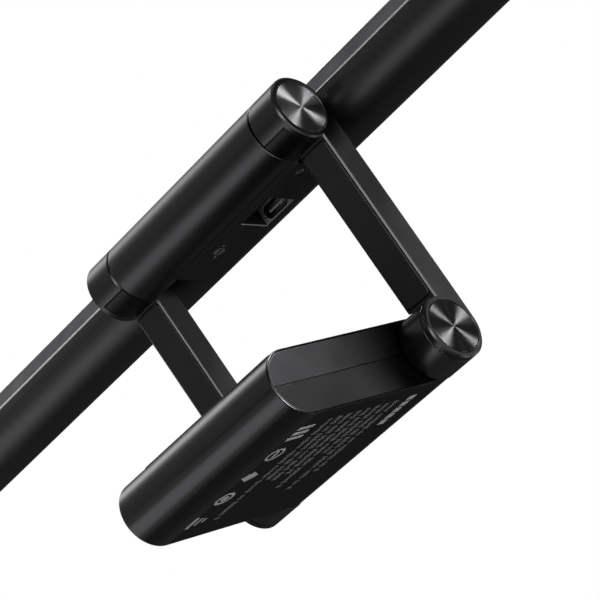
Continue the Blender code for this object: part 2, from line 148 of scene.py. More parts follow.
def rounded_box(y0, y1, z0, z1, radius, steps=8):
    points = arc(y1 - radius, z1 - radius, radius, 0.0, 90.0, steps)
    points += arc(y0 + radius, z1 - radius, radius, 90.0, 180.0, steps)
    points += arc(y0 + radius, z0 + radius, radius, 180.0, 270.0, steps)
    points += arc(y1 - radius, z0 + radius, radius, 270.0, 360.0, steps)
    return points


def edge_steps(edge, steps):
    """Pairs (inset, setback) along a rounded edge, from the flat face out to the side."""
    pairs = []
    for i in range(steps + 1):
        turn = math.radians(90.0 * i / steps)
        pairs.append((edge * (1 - math.sin(turn)), edge * (1 - math.cos(turn))))
    return pairs


# ---------------------------------------------------------------- mesh building

def add_object(name, data):
    made = bpy.data.objects.new(name, data)
    bpy.context.scene.collection.objects.link(made)
    return made


def join_rings(bm, here, there):
    """Fills the band between two rings of vertices with quads."""
    for i in range(len(here)):
        j = (i + 1) % len(here)
        bm.faces.new((here[i], here[j], there[j], there[i]))


def skin(bm, rings, closed=False, caps=True):
    """Joins rings of points by quads; closed joins the last ring to the first, caps fill the end rings."""
    made = [[bm.verts.new(p) for p in ring] for ring in rings]
    pairs = list(zip(made, made[1:]))
    if closed:
        pairs.append((made[-1], made[0]))
    for here, there in pairs:
        join_rings(bm, here, there)
    if caps and not closed:
        bm.faces.new(list(reversed(made[0])))
        bm.faces.new(made[-1])
    return made


def solid(rings):
    """A closed solid from rings of points."""
    bm = bmesh.new()
    skin(bm, rings)
    return bm


def at_x(outline, x):
    return [(x, y, z) for y, z in outline]


def side_rings(outline, x0, x1, edge, steps):
    """Rings from x0 to x1 with rounded ends. outline(inset) gives the section."""
    rings = [at_x(outline(inset), x0 + back) for inset, back in edge_steps(edge, steps)]
    rings += [at_x(outline(inset), x1 - back) for inset, back in reversed(edge_steps(edge, steps))]
    return rings


def rounded_prism(outline, x0, x1, edge):
    """A solid extruded along X whose end edges are rounded."""
    return solid(side_rings(outline, x0, x1, edge, 2))


def rounded_tube(outline, wall, x0, x1, edge):
    """A tube extruded along X. outline(inset) gives its outer section."""
    bm = bmesh.new()
    inside = side_rings(lambda inset: outline(wall - inset), x0, x1, 0.12, 2)
    skin(bm, side_rings(outline, x0, x1, edge, 6) + inside[::-1], closed=True)
    return bm


def prism(outline, x0, x1):
    return solid([at_x(outline, x0), at_x(outline, x1)])


def lathe(profile, steps):
    """Turns (x, r) pairs about the X axis. A profile that starts and ends at r = 0 gives a solid, any other is
    joined from its end to its start and gives a ring."""
    bm = bmesh.new()
    ends = [p for p in (profile[0], profile[-1]) if p[1] == 0]
    rings = [at_x(circle(r, steps), x) for x, r in profile if r > 0]
    made = skin(bm, rings, closed=not ends, caps=False)
    if ends:
        for ring, (x, _) in ((made[0], profile[0]), (made[-1], profile[-1])):
            tip = bm.verts.new((x, 0.0, 0.0))
            for i in range(len(ring)):
                bm.faces.new((ring[i], ring[(i + 1) % len(ring)], tip))
    return bm


def is_sharp(edge, angle):
    return len(edge.link_faces) == 2 and edge.calc_face_angle() > math.radians(angle)


def bevel_edges(bm, edges, width, segments):
    """Rounds the edges and returns the faces that this makes."""
    return bmesh.ops.bevel(bm, geom=edges, offset=width, offset_type="OFFSET", segments=segments, profile=0.5,
                           affect="EDGES", clamp_overlap=True)["faces"]


def bevel(bm, width, angle=35.0, segments=3):
    bmesh.ops.recalc_face_normals(bm, faces=bm.faces)
    bevel_edges(bm, [e for e in bm.edges if is_sharp(e, angle)], width, segments)
    return bm


def temporary(bm, name):
    bmesh.ops.recalc_face_normals(bm, faces=bm.faces)
    mesh = bpy.data.meshes.new(name)
    bm.to_mesh(mesh)
    bm.free()
    return add_object(name, mesh)


def carve(bm, *cutters):
    """The solid with each cutter taken out of it."""
    body = temporary(bm, "carve_body")
    tools = [temporary(cutter, "carve_tool") for cutter in cutters]
    for tool in tools:
        modifier = body.modifiers.new("cut", "BOOLEAN")
        modifier.operation = "DIFFERENCE"
        modifier.solver = "EXACT"
        modifier.object = tool
    graph = bpy.context.evaluated_depsgraph_get()
    mesh = bpy.data.meshes.new_from_object(body.evaluated_get(graph))
    result = bmesh.new()
    result.from_mesh(mesh)
    for thing in [body, *tools]:
        old = thing.data
        bpy.data.objects.remove(thing)
        bpy.data.meshes.remove(old)
    bpy.data.meshes.remove(mesh)
    bmesh.ops.remove_doubles(result, verts=result.verts, dist=0.0005)
    return result


def moved(bm, matrix):
    bm.transform(matrix)
    return bm


def merged(parts):
    """Several separate closed shapes as one mesh."""
    whole = bmesh.new()
    for part in parts:
        bmesh.ops.recalc_face_normals(part, faces=part.faces)
        mesh = bpy.data.meshes.new("part")
        part.to_mesh(mesh)
        part.free()
        whole.from_mesh(mesh)
        bpy.data.meshes.remove(mesh)
    return whole


def paint(bm, number, test):
    """Gives the faces that pass the test the piece's extra look of that number, counted from 1."""
    bmesh.ops.recalc_face_normals(bm, faces=bm.faces)
    for face in bm.faces:
        if test(face):
            face.material_index = number


def emit(name, bm, look, body, slot, *nodes, mirror=False, extra=()):
    """Makes the piece in the row frame, lets it ride on its body and hides the CAD nodes it stands for.
    extra holds the looks of the faces marked by paint()."""
    bm.transform(Matrix.Translation(BARREL_AT) @ Matrix.Scale(MM, 4))
    if mirror:
        bm.transform(Matrix.Translation((2 * BARREL_AT.x, 0, 0)) @ Matrix.Diagonal((-1, 1, 1, 1)))
    bmesh.ops.recalc_face_normals(bm, faces=bm.faces)
    mesh = bpy.data.meshes.new(name)
    bm.to_mesh(mesh)
    bm.free()
    mesh.shade_smooth()
    mesh.set_sharp_from_angle(angle=math.radians(SHARP_ANGLE))
    for material in (look, *extra):
        mesh.materials.append(material)
    piece = add_object(name, mesh)
    even = piece.modifiers.new("even", "WEIGHTED_NORMAL")
    even.keep_sharp = True
    graph = bpy.context.evaluated_depsgraph_get()
    smooth = bpy.data.meshes.new_from_object(piece.evaluated_get(graph), preserve_all_data_layers=True,
                                             depsgraph=graph)
    piece.modifiers.clear()
    piece.data = smooth
    bpy.data.meshes.remove(mesh)
    smooth.name = name
    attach(piece, body)
    if nodes:
        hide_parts(*nodes)
    return piece


def repaint(node, look):
    """A new look for a CAD node that stays visible."""
    NODES[node].data.materials.clear()
    NODES[node].data.materials.append(look)


# ---------------------------------------------------------------- materials

METAL = 1.0
PLASTIC = 0.0
# how much of the colour is left where the painted shade is darkest
PAINTED_SHADE_DARKEST = 0.04


def add_node(tree, kind, values=None):
    """A new shader node with the given values on its inputs."""
    node = tree.nodes.new(kind)
    for socket, value in (values or {}).items():
        node.inputs[socket].default_value = value
    return node


def painted_shade_node(tree, place, shade, axis_place, near, far):
    """The colour darkened towards an axis along X as painted shade: darkest up to near, untouched from far on, in
    millimetres.
    """
    offset = add_node(tree, "ShaderNodeVectorMath", {1: axis_place})
    offset.operation = "SUBTRACT"
    across = add_node(tree, "ShaderNodeVectorMath", {1: (0.0, 1.0, 1.0)})
    across.operation = "MULTIPLY"
    away = add_node(tree, "ShaderNodeVectorMath")
    away.operation = "LENGTH"
    share = add_node(tree, "ShaderNodeMapRange", {"From Min": near * MM, "From Max": far * MM,
                                                  "To Min": PAINTED_SHADE_DARKEST, "To Max": 1.0})
    share.interpolation_type = "SMOOTHSTEP"
    darker = add_node(tree, "ShaderNodeVectorMath")
    darker.operation = "SCALE"
    tree.links.new(place, offset.inputs[0])
    tree.links.new(offset.outputs["Vector"], across.inputs[0])
    tree.links.new(across.outputs["Vector"], away.inputs[0])
    tree.links.new(away.outputs["Value"], share.inputs["Value"])
    tree.links.new(shade, darker.inputs[0])
    tree.links.new(share.outputs["Result"], darker.inputs["Scale"])
    return darker.outputs["Vector"]


def finish(name, colour, metallic, roughness, grain, relief, tint=0.12, spread=0.05, specular=0.5,
           stretch=(1.0, 1.0, 1.0), mottle=9.0, painted_shade=None, edge=(1.0, 1.0, 1.0)):
    """A surface with fine grain. grain is its size and mottle the size of its slow changes, in millimetres;
    relief is the grain's height in millimetres, tint and spread the changes of colour and roughness. The
    painted-shade argument, (axis place in metres, near, far), darkens the colour close to an axis as painted
    shade, and edge tints its reflections at low angles."""
    look = bpy.data.materials.new(name)
    look.use_nodes = True
    tree = look.node_tree
    link = tree.links.new
    shader = tree.nodes["Principled BSDF"]
    shader.inputs["Metallic"].default_value = metallic
    shader.inputs["Specular IOR Level"].default_value = specular
    shader.inputs["Specular Tint"].default_value = (*edge, 1.0)

    place = add_node(tree, "ShaderNodeTexCoord")
    mapping = add_node(tree, "ShaderNodeMapping", {"Scale": [s / MM for s in stretch]})
    fine = add_node(tree, "ShaderNodeTexNoise", {"Scale": 1.0 / grain, "Detail": 3.0})
    slow = add_node(tree, "ShaderNodeTexNoise", {"Scale": 1.0 / mottle, "Detail": 4.0})
    link(place.outputs["Object"], mapping.inputs["Vector"])
    for noise in (fine, slow):
        link(mapping.outputs["Vector"], noise.inputs["Vector"])

    ramp = add_node(tree, "ShaderNodeValToRGB")
    for stop, at, share in zip(ramp.color_ramp.elements, (0.3, 0.7), (1 - tint, 1 + tint)):
        stop.position = at
        stop.color = (*(c * share for c in colour), 1.0)
    link(fine.outputs["Fac"], ramp.inputs["Fac"])

    spreader = add_node(tree, "ShaderNodeMapRange", {"From Min": 0.3, "From Max": 0.7,
                                                     "To Min": roughness - spread, "To Max": roughness + spread})
    link(slow.outputs["Fac"], spreader.inputs["Value"])
    link(spreader.outputs["Result"], shader.inputs["Roughness"])

    shade = ramp.outputs["Color"]
    # painted shade: the colour darkened close to an axis
    if painted_shade:
        shade = painted_shade_node(tree, place.outputs["Object"], shade, *painted_shade)
    link(shade, shader.inputs["Base Color"])

    bump = add_node(tree, "ShaderNodeBump", {"Strength": 1.0, "Distance": relief * MM})
    link(fine.outputs["Fac"], bump.inputs["Height"])
    link(bump.outputs["Normal"], shader.inputs["Normal"])
    return look


def turned(look):
    """Gives a finish the streaks of metal turned on a lathe, about the X axis."""
    tree = look.node_tree
    shader = tree.nodes["Principled BSDF"]
    shader.inputs["Anisotropic"].default_value = 1.0
    shader.inputs["Anisotropic Rotation"].default_value = 0.25
    tangent = tree.nodes.new("ShaderNodeTangent")
    tangent.direction_type = "RADIAL"
    tangent.axis = "X"
    tree.links.new(tangent.outputs["Tangent"], shader.inputs["Tangent"])
    return look


# the grain shared by surfaces of one kind
ANODISED = {"grain": 0.16, "relief": 0.0015, "tint": 0.10, "spread": 0.010}
COATED = {"grain": 0.20, "relief": 0.003, "tint": 0.10, "spread": 0.012}
BLASTED = {"grain": 0.18, "relief": 0.008, "spread": 0.02}
CAP = {"grain": 0.22, "relief": 0.006, "tint": 0.08, "spread": 0.02, "edge": (0.9, 0.9, 0.9)}
PRINT = {"grain": 0.15, "relief": 0.004, "tint": 0.20}
HINGE_AT = BARREL_AT + HINGE * MM               # in metres

LOOKS = {
    "anodised": finish("black_anodised", (0.058, 0.058, 0.061), METAL, 0.33, **ANODISED),
    "bar": finish("black_anodised_bar", (0.060, 0.060, 0.063), METAL, 0.41, **ANODISED),
    "weight": finish("black_anodised_weight", (0.057, 0.057, 0.060), METAL, 0.24, **ANODISED),
    # the counterweight's flat rear face: the anodising painted darker, as painted shade
    "label_shade": finish("black_anodised_label_painted_shade", (0.036, 0.036, 0.037), METAL, 0.38, edge=(0.75, 0.75, 0.75),
                    **ANODISED),
    # the hinge boss: the anodising painted lighter, standing in for the light on it
    "boss": finish("black_anodised_boss_painted_light", (0.085, 0.085, 0.089), METAL, 0.33, **ANODISED),
    "arm": finish("black_coated_alloy", (0.058, 0.058, 0.060), METAL, 0.30, **COATED),
    "cover": finish("black_knuckle_cover", (0.022, 0.022, 0.023), METAL, 0.34, **COATED),
    # the arms' outer side faces, with painted shade near the knuckle: darker close to the barrel's axis
    "arm_outside": finish("blasted_arm_outside_painted_shade", (0.062, 0.062, 0.0635), METAL, 0.48, tint=0.08,
                          painted_shade=(BARREL_AT, 9.0, 17.0), **BLASTED),
    "arm_inside": finish("blasted_arm_inside", (0.007, 0.007, 0.0073), PLASTIC, 0.48, tint=0.12, specular=0.55,
                         **BLASTED),
    "arm_top": finish("coated_arm_top", (0.045, 0.045, 0.0465), METAL, 0.42, grain=0.20, relief=0.004, tint=0.10,
                      spread=0.02, edge=(0.35, 0.35, 0.35)),
    "plastic": finish("black_moulded_plastic", (0.0052, 0.0052, 0.0055), PLASTIC, 0.50, grain=0.22, relief=0.008,
                      tint=0.15, specular=0.28),
    # the caps' halves are lit and shaded copies of one finish: the front half painted lighter, the rear darker,
    # and both with painted shade close to the hinge axis
    "cap_front": finish("black_cap_front_painted_light", (0.100, 0.100, 0.105), METAL, 0.44, painted_shade=(HINGE_AT, 11.0, 40.0), **CAP),
    "cap_rear": finish("black_cap_rear_painted_shade", (0.064, 0.064, 0.066), METAL, 0.44, painted_shade=(HINGE_AT, 13.0, 31.0), **CAP),
    "silicone": finish("dark_silicone", (0.012, 0.012, 0.0126), PLASTIC, 0.62, grain=0.35, relief=0.016,
                       tint=0.15, specular=0.25),
    "disc": turned(finish("turned_metal", (0.17, 0.17, 0.174), METAL, 0.30, grain=0.12, relief=0.0005, tint=0.06,
                          spread=0.01)),
    "lens": finish("smoked_diffuser", (0.0078, 0.0084, 0.0102), PLASTIC, 0.60, grain=0.30, relief=0.012,
                   tint=0.14, specular=0.25, edge=(0.84, 0.90, 1.0)),
    # a lighter grey on the bevel at the pocket mouth's end: painted highlight
    "rim_highlight": finish("painted_highlight_rim", (0.16, 0.16, 0.163), PLASTIC, 0.40, grain=0.22, relief=0.004, tint=0.10),
    "trim": finish("polished_lip", (0.62, 0.62, 0.64), METAL, 0.36, grain=0.15, relief=0.001, tint=0.05),
    # flat black standing for painted shade in the discs' gaps and on the pocket's end wall
    "gap": finish("black_gap", (0.003, 0.003, 0.003), PLASTIC, 0.80, grain=0.20, relief=0.004, tint=0.10,
                  specular=0.1),
    "gloss": finish("touch_gloss", (0.010, 0.010, 0.011), PLASTIC, 0.12, grain=0.40, relief=0.001, tint=0.10,
                    spread=0.03),
    "print": finish("grey_print", (0.42, 0.42, 0.43), PLASTIC, 0.55, **PRINT),
    "faint_print": finish("faint_print", (0.12, 0.12, 0.123), PLASTIC, 0.50, **PRINT),
    "steel": finish("plain_steel", (0.34, 0.33, 0.31), METAL, 0.32, grain=0.12, relief=0.004),
    "aluminium": finish("plain_aluminium", (0.60, 0.61, 0.62), METAL, 0.40, grain=0.15, relief=0.003,
                        stretch=(0.1, 1.0, 1.0)),
    "board": finish("white_circuit_board", (0.72, 0.72, 0.69), PLASTIC, 0.45, grain=0.60, relief=0.006, tint=0.05),
    "bush": finish("grey_bush", (0.12, 0.12, 0.12), PLASTIC, 0.50, grain=0.30, relief=0.008),
    "shell": finish("port_shell", (0.10, 0.10, 0.105), METAL, 0.30, grain=0.15, relief=0.002),
    "tongue": finish("port_tongue", (0.34, 0.34, 0.34), PLASTIC, 0.45, grain=0.15, relief=0.004),
    # a light grey for the pocket's ceiling plate: painted light
    "plate": finish("port_plate_painted_light", (0.20, 0.20, 0.205), PLASTIC, 0.45, grain=0.20, relief=0.004, tint=0.08),
}


# ---------------------------------------------------------------- arms

def knuckle_arc(inset):
    radius = BARREL_R - inset
    start = math.degrees(math.asin((ARM_TOP - inset) / radius))
    stop = 360.0 + math.degrees(math.asin((ARM_LOW + inset) / radius))
    return arc(0.0, 0.0, radius, start, stop, 96)


def thick_outline(inset, end_inset):
    """The arm's thick part: round the knuckle, then to the step before the plate."""
    outline = knuckle_arc(inset)
    outline += [(ARM_END - end_inset, ARM_LOW + inset), (ARM_END - end_inset, ARM_TOP - inset)]
    return outline


def plate_chain(inset):
    """The plate's round end about the rear hinge, from its underside to its top."""
    radius = PLATE_R - inset
    low = 180.0 - math.degrees(math.asin((ARM_LOW + inset - HINGE.z) / radius))
    return arc(HINGE.y, HINGE.z, radius, low, 450.0, 72)


def disc_recess(y, z):
    """The cutter for a disc's round recess, with a chamfered mouth."""
    radius = DISC_R + 0.22
    profile = [(ARM_OUT - 1.0, 0.0), (ARM_OUT - 1.0, radius), (ARM_OUT - 0.14, radius),
               (ARM_OUT + 0.02, radius + 0.16), (ARM_OUT + 1.0, radius + 0.16), (ARM_OUT + 1.0, 0.0)]
    return moved(lathe(profile, 96), Matrix.Translation((0, y, z)))


def pad_layers(layers):
    """A solid of level layers, each the pad's outline grown by so much at a height."""
    rings = []
    for grow, z in layers:
        outline = rounded_box(PAD_Y[0] - grow, PAD_Y[1] + grow, PAD_X[0] - grow, PAD_X[1] + grow,
                              PAD_CORNER + grow)
        rings.append([(x, y, z) for y, x in outline])
    return solid(rings)


def sector(outer, inner, start, stop, steps):
    """A piece of a ring round the barrel's axis."""
    return arc(0, 0, outer, start, stop, steps) + arc(0, 0, inner, stop, start, steps)


def arm_solid():
    """Thick part, step and plate in one skin, with chamfered long edges."""
    step_x = ARM_OUT - PLATE
    bm = bmesh.new()
    rings = [at_x(thick_outline(inset, inset), ARM_IN + back) for inset, back in edge_steps(ARM_CHAMFER, 1)]
    rings.append(at_x(thick_outline(0.0, 0.0), step_x))
    made = [[bm.verts.new(p) for p in ring] for ring in rings]
    bm.faces.new(list(reversed(made[0])))
    for here, there in zip(made, made[1:]):
        join_rings(bm, here, there)
    middle = made[-1]
    chain = [bm.verts.new(p) for p in at_x(plate_chain(0.0), step_x)]
    bm.faces.new([middle[-2], *chain, middle[-1]])
    last = [*middle[:-1], *chain, middle[-1]]
    for inset, back in reversed(edge_steps(ARM_CHAMFER, 1)):
        thick = thick_outline(inset, 0.0)
        outline = [*thick[:-1], *plate_chain(inset), thick[-1]]
        ring = [bm.verts.new(p) for p in at_x(outline, ARM_OUT - back)]
        join_rings(bm, last, ring)
        last = ring
    bm.faces.new(last)
    return bm


def make_arm(side, mirror):
    step_x = ARM_OUT - PLATE
    recess = pad_layers([(0.42, -1.0), (0.42, 0.78), (0.28, 0.95), (0.28, 1.6)])
    cover_gap = prism(sector(11.0, 7.2, *COVER_GAP_ARC, 24), ARM_IN - 1.0, step_x)
    bore = prism(circle(AXLE_BORE_R, 48), ARM_IN - 1.0, ARM_OUT - 1.9)
    shape = carve(arm_solid(), recess, cover_gap, bore, disc_recess(0.0, 0.0), disc_recess(HINGE.y, HINGE.z))
    # the outer side faces take the finish with painted shade near the knuckle
    paint(shape, 1, lambda face: face.normal.x > SQUARE_ON)
    paint(shape, 2, lambda face: face.normal.x < -SQUARE_ON)
    paint(shape, 3, lambda face: face.normal.z > SQUARE_ON)
    emit("arm_shell_" + side, shape, LOOKS["arm"], "arm_frame", "arm_black", "arm_" + side, mirror=mirror,
         extra=(LOOKS["arm_outside"], LOOKS["arm_inside"], LOOKS["arm_top"]))

    cover = prism(sector(BARREL_R - 0.05, 7.5, *COVER_ARC, 48), ARM_IN, step_x - 0.3)
    emit("knuckle_shell_" + side, bevel(cover, 0.14, angle=60.0), LOOKS["cover"], "arm_frame", "arm_black",
         "knuckle_cover_" + side, mirror=mirror)

    layers = [(-inset, PAD_Z[0] + back) for inset, back in edge_steps(0.28, 4)] + [(0.0, PAD_Z[1])]
    emit("arm_rubber_" + side, pad_layers(layers), LOOKS["silicone"], "arm_frame", "dark_silicone",
         "arm_pad_" + side, mirror=mirror)


def make_disc(place, y, z, mirror):
    """A turned disc with fine ring grooves, a chamfered rim and a small centre point, and a black ring in the gap
    round it as painted shade.
    """
    edge = DISC_R - 0.15
    face = ARM_OUT - 0.02
    centre = Matrix.Translation((0, y, z))
    profile = [(ARM_OUT - 0.65, 0.0), (ARM_OUT - 0.65, edge), (ARM_OUT - 0.06, edge), (face, edge - 0.04)]
    grooves = 28
    for i in range(grooves):
        outer = (edge - 0.3) * (1 - i / grooves) + 0.12
        profile.append((face, outer))
        profile.append((ARM_OUT - 0.026, outer - 0.5 * (edge - 0.3) / grooves))
    profile.append((ARM_OUT - 0.06, 0.0))
    emit("turned_disc_" + place, moved(lathe(profile, 144), centre), LOOKS["disc"], "arm_frame", "brushed_disc",
         "disc_" + place, mirror=mirror)
    # a black ring filling the gap round the disc: painted shade
    shade_ring = lathe([(ARM_OUT - 0.9, edge + 0.01), (ARM_OUT - 0.16, edge + 0.01), (ARM_OUT - 0.16, DISC_R + 0.2),
                  (ARM_OUT - 0.9, DISC_R + 0.2)], 96)
    emit("disc_shade_ring_" + place, moved(shade_ring, centre), LOOKS["gap"], "arm_frame", "arm_black", mirror=mirror)


for side, mirror in SIDES:
    make_arm(side, mirror)
    make_disc("front_" + side, 0.0, 0.0, mirror)
    make_disc("rear_" + side, HINGE.y, HINGE.z, mirror)


# ---------------------------------------------------------------- barrel and bracket

barrel = rounded_tube(lambda inset: circle(BARREL_R - inset, 144), BARREL_R - BARREL_BORE, -BARREL_HALF - 0.12,
                      BARREL_HALF + 0.12, 0.2)
emit("barrel_tube", barrel, LOOKS["anodised"], "light_head", "anodised_black", "barrel_sleeve")


def face_point(along, out=0.0):
    """A point on the bracket's flat face, or so far out from it, as (y, z)."""
    normal = polar(0.0, 0.0, 1.0, FACE_TILT)
    reach = BARREL_R + out
    return (normal[0] * reach - normal[1] * along, normal[1] * reach + normal[0] * along)


def bracket_outline():
    """Round the barrel, along the flat face, and back round the light bar."""
    hug = BARREL_R + 0.04
    saddle = BAR_R + 0.3
    start = face_point(FACE_SPAN[0])
    outline = arc(0.0, 0.0, hug, math.degrees(math.acos(BRACKET_TIP_Y / hug)),
                  math.degrees(math.atan2(start[1], start[0])), 32)
    outline += [start, face_point(FACE_SPAN[1]), polar(*BAR_AXIS, saddle + 0.5, -17.0)]
    tip = -math.degrees(math.acos((BRACKET_TIP_Y - BAR_AXIS[0]) / saddle))
    outline += arc(*BAR_AXIS, saddle, -15.0, tip, 32)
    return outline


def pocket_outline():
    """The inlet's pocket: a level ceiling, an upright front wall and a sloping floor."""
    beyond = 20.0
    floor_edge = face_point(POCKET_FLOOR, 1.0)
    wall_low = math.sqrt((BARREL_R + 1.3) ** 2 - POCKET_FRONT ** 2)
    return [(POCKET_FRONT, POCKET_CEILING), (POCKET_FRONT, wall_low), face_point(POCKET_FLOOR), floor_edge,
            (beyond, floor_edge[1]), (beyond, POCKET_CEILING)]


def port_solid(layers):
    """The inlet's level ovals, each grown by so much at a height over the pocket's ceiling."""
    rings = []
    for grow, z in layers:
        oval = arc(PORT_ARM, 0.0, PORT_R + grow, -90.0, 90.0, 24)
        oval += arc(-PORT_ARM, 0.0, PORT_R + grow, 90.0, 270.0, 24)
        rings.append([(PORT_AT[0] + x, PORT_AT[1] + y, POCKET_CEILING + z) for x, y in oval])
    return solid(rings)


def face_frame(x, along):
    """Places a solid turned about X on the bracket's face: its +X becomes the face's normal."""
    y, z = face_point(along)
    return Matrix.Translation((x, y, z)) @ Matrix.Rotation(math.radians(FACE_TILT), 4, "X") @ Matrix.Rotation(
        math.radians(90.0), 4, "Z")


def near_pocket_end(face):
    """Whether the face lies at the pocket's -X end."""
    return face.calc_center_median().x < POCKET_X[0] + 0.6


def pocket_mouth(bm):
    """The edges round the pocket's mouth in the bracket's flat face."""
    found = []
    for edge in bm.edges:
        ends = [v.co for v in edge.verts]
        on_face = all(abs(v.y * math.cos(math.radians(FACE_TILT)) + v.z * math.sin(math.radians(FACE_TILT))
                          - BARREL_R) < 0.01 for v in ends)
        inside = all(POCKET_X[0] - 0.6 < v.x < POCKET_X[1] + 0.7 for v in ends)
        if on_face and inside and is_sharp(edge, 30.0):
            found.append(edge)
    return found


screw_hole = lathe([(-1.5, 0.0), (-1.5, 1.6), (-0.15, 1.6), (0.05, 1.8), (1.0, 1.8), (1.0, 0.0)], 64)
housing = carve(bevel(prism(bracket_outline(), *BRACKET_X), 0.3), prism(pocket_outline(), *POCKET_X),
                port_solid([(0.45, -0.05), (0.3, 0.15), (0.3, 8.0)]), moved(screw_hole, face_frame(*SCREW_AT)))
# the bevel round the pocket's end is painted lighter: painted highlight
rim_highlight = {face for face in bevel_edges(housing, pocket_mouth(housing), 0.22, 2) if near_pocket_end(face)}
paint(housing, 1, lambda face: face in rim_highlight)
# the pocket's end wall painted black: painted shade
paint(housing, 2, lambda face: face.normal.x > 0.99 and face not in rim_highlight and near_pocket_end(face)
      and face.calc_center_median().x > POCKET_X[0] - 0.6)
emit("bracket_moulding", housing, LOOKS["plastic"], "light_head", "matt_black_plastic", "bracket_housing",
     extra=(LOOKS["rim_highlight"], LOOKS["gap"]))

shell = carve(port_solid([(0.0, 0.05), (0.0, 2.35)]),
              port_solid([(-0.2, -1.0), (-0.2, 0.05), (-0.3, 0.2), (-0.3, 1.9)]))
emit("port_shell", shell, LOOKS["shell"], "light_head", "port_shell", "usb_c_shell")
tongue = prism(rounded_box(10.85, 11.55, 11.45, 12.75, 0.18), 7.65, 14.25)
emit("port_tongue", tongue, LOOKS["tongue"], "light_head", "port_tongue", "usb_c_tongue")
# a light grey plate at the pocket's ceiling, painted light standing for the lit ceiling
plate = prism(rounded_box(8.5, 13.6, 11.0, 11.4, 0.05, 2), 4.7, 17.2)
emit("port_plate_painted_light", carve(plate, port_solid([(0.45, -1.0), (0.45, 1.0)])), LOOKS["plate"], "light_head",
     "matt_black_plastic")

head = lathe([(-1.2, 0.0), (-1.2, 1.3), (-0.42, 1.3), (-0.3, 1.25), (-0.22, 1.1), (-0.2, 0.95), (-0.2, 0.0)], 64)
socket = prism(circle(0.7, 6), -0.8, 1.0)
emit("bracket_screw_head", moved(carve(head, socket), face_frame(*SCREW_AT)), LOOKS["steel"], "light_head",
     "plain_steel", "bracket_screw")

# a ring with short bars in and beside it, instead of the symbol on the bracket's face
dashes = []
for x, along, width in ((-11.6, 8.0, 0.9), (-6.0, 7.0, 0.9), (-8.8, 6.8, 1.6), (-8.8, 8.2, 1.6)):
    dash = prism(rounded_box(-width / 2, width / 2, -0.3, 0.3, 0.15, 4), 0.0, PRINT_HEIGHT)
    dashes.append(moved(dash, face_frame(x, along)))
ring = lathe([(0.0, 1.6), (PRINT_HEIGHT, 1.6), (PRINT_HEIGHT, 1.3), (0.0, 1.3)], 48)
dashes.append(moved(ring, face_frame(-8.8, 7.5)))
emit("bracket_dashes", merged(dashes), LOOKS["faint_print"], "light_head", "matt_black_plastic")


# ---------------------------------------------------------------- light bar

# BAR places what is turned with the outlet. STAND points a solid's +X up, and TOP places it on the tube.
TOP = Matrix.Translation((0.0, *BAR_AXIS))
BAR = TOP @ Matrix.Rotation(math.radians(BAR_TURN), 4, "X")
STAND = Matrix(((0, 0, -1, 0), (0, 1, 0, 0), (1, 0, 0, 0), (0, 0, 0, 1)))


def bar_outline(inset):
    """The tube's section, open at the outlet."""
    radius = BAR_R - inset
    inner = BAR_R - BAR_WALL + inset
    half = math.degrees(math.asin((OUTLET_HALF + inset) / radius))
    inner_half = math.degrees(math.asin((OUTLET_HALF + inset) / inner))
    return arc(0.0, 0.0, radius, -90.0 + half, 270.0 - half, 128) + arc(
        0.0, 0.0, inner, 270.0 - inner_half, -90.0 + inner_half, 96)


def touch_outline(inset):
    """The touch strip's outline, seen from above."""
    return rounded_box(-3.1 + inset, 3.1 - inset, -29.7 + inset, 29.7 - inset, 3.0 - inset, 16)


tube = moved(rounded_prism(bar_outline, -BAR_HALF + 0.3, BAR_HALF - 0.3, 0.2), BAR)
touch_cut = moved(prism(touch_outline(-0.3), BAR_R - 0.9, BAR_R + 2.0), TOP @ STAND)
emit("bar_shell", carve(tube, touch_cut), LOOKS["bar"], "light_head", "anodised_black", "bar_tube")

# corners of a lip's section, outward and upward from the outlet's edge
LIP = ((0.14, -0.08), (0.46, 0.06), (0.46, 0.34), (-0.26, 0.34), (-0.26, -0.04))
for name, sign in (("outlet_lip_rear", 1), ("outlet_lip_front", -1)):
    section = [(sign * (OUTLET_HALF + out), -OUTLET_DROP + up) for out, up in LIP]
    lip = bevel(prism(section, -BAR_HALF + 0.4, BAR_HALF - 0.4), 0.04, segments=2)
    emit(name, moved(lip, BAR), LOOKS["trim"], "light_head", "anodised_black")


def lens_outline(inset):
    """The diffuser's section: a front that fills the outlet and a flange behind the tube's wall."""
    narrow = OUTLET_HALF - 0.3 - inset
    front = -OUTLET_DROP + 0.1 + inset
    flange = -OUTLET_DROP + 2.0
    wide = math.sqrt((BAR_R - BAR_WALL - 0.3) ** 2 - flange ** 2) - inset
    return [(-narrow, front), (narrow, front), (narrow, flange), (wide, flange), (wide, flange + 1.0 - inset),
            (-wide, flange + 1.0 - inset), (-wide, flange), (-narrow, flange)]


lens = rounded_prism(lens_outline, -BAR_HALF + 0.3, BAR_HALF - 0.3, 0.1)
emit("diffuser_strip", moved(lens, BAR), LOOKS["lens"], "light_head", "smoked_diffuser", "diffuser_lens")

layers = [(0.0, BAR_R - 0.6)] + [(inset, BAR_R - 0.15 - back) for inset, back in reversed(edge_steps(0.25, 3))]
panel = solid([at_x(touch_outline(inset), x) for inset, x in layers])
emit("touch_strip", moved(panel, TOP @ STAND), LOOKS["gloss"], "light_head", "touch_gloss", "touch_panel")
signs = []
for z in (-20.0, 0.0, 20.0):
    ring = lathe([(BAR_R - 0.16, 0.95), (BAR_R - 0.13, 0.95), (BAR_R - 0.13, 1.2), (BAR_R - 0.16, 1.2)], 48)
    signs.append(moved(ring, TOP @ STAND @ Matrix.Translation((0, 0, z))))
emit("touch_rings", merged(signs), LOOKS["print"], "light_head", "touch_gloss")

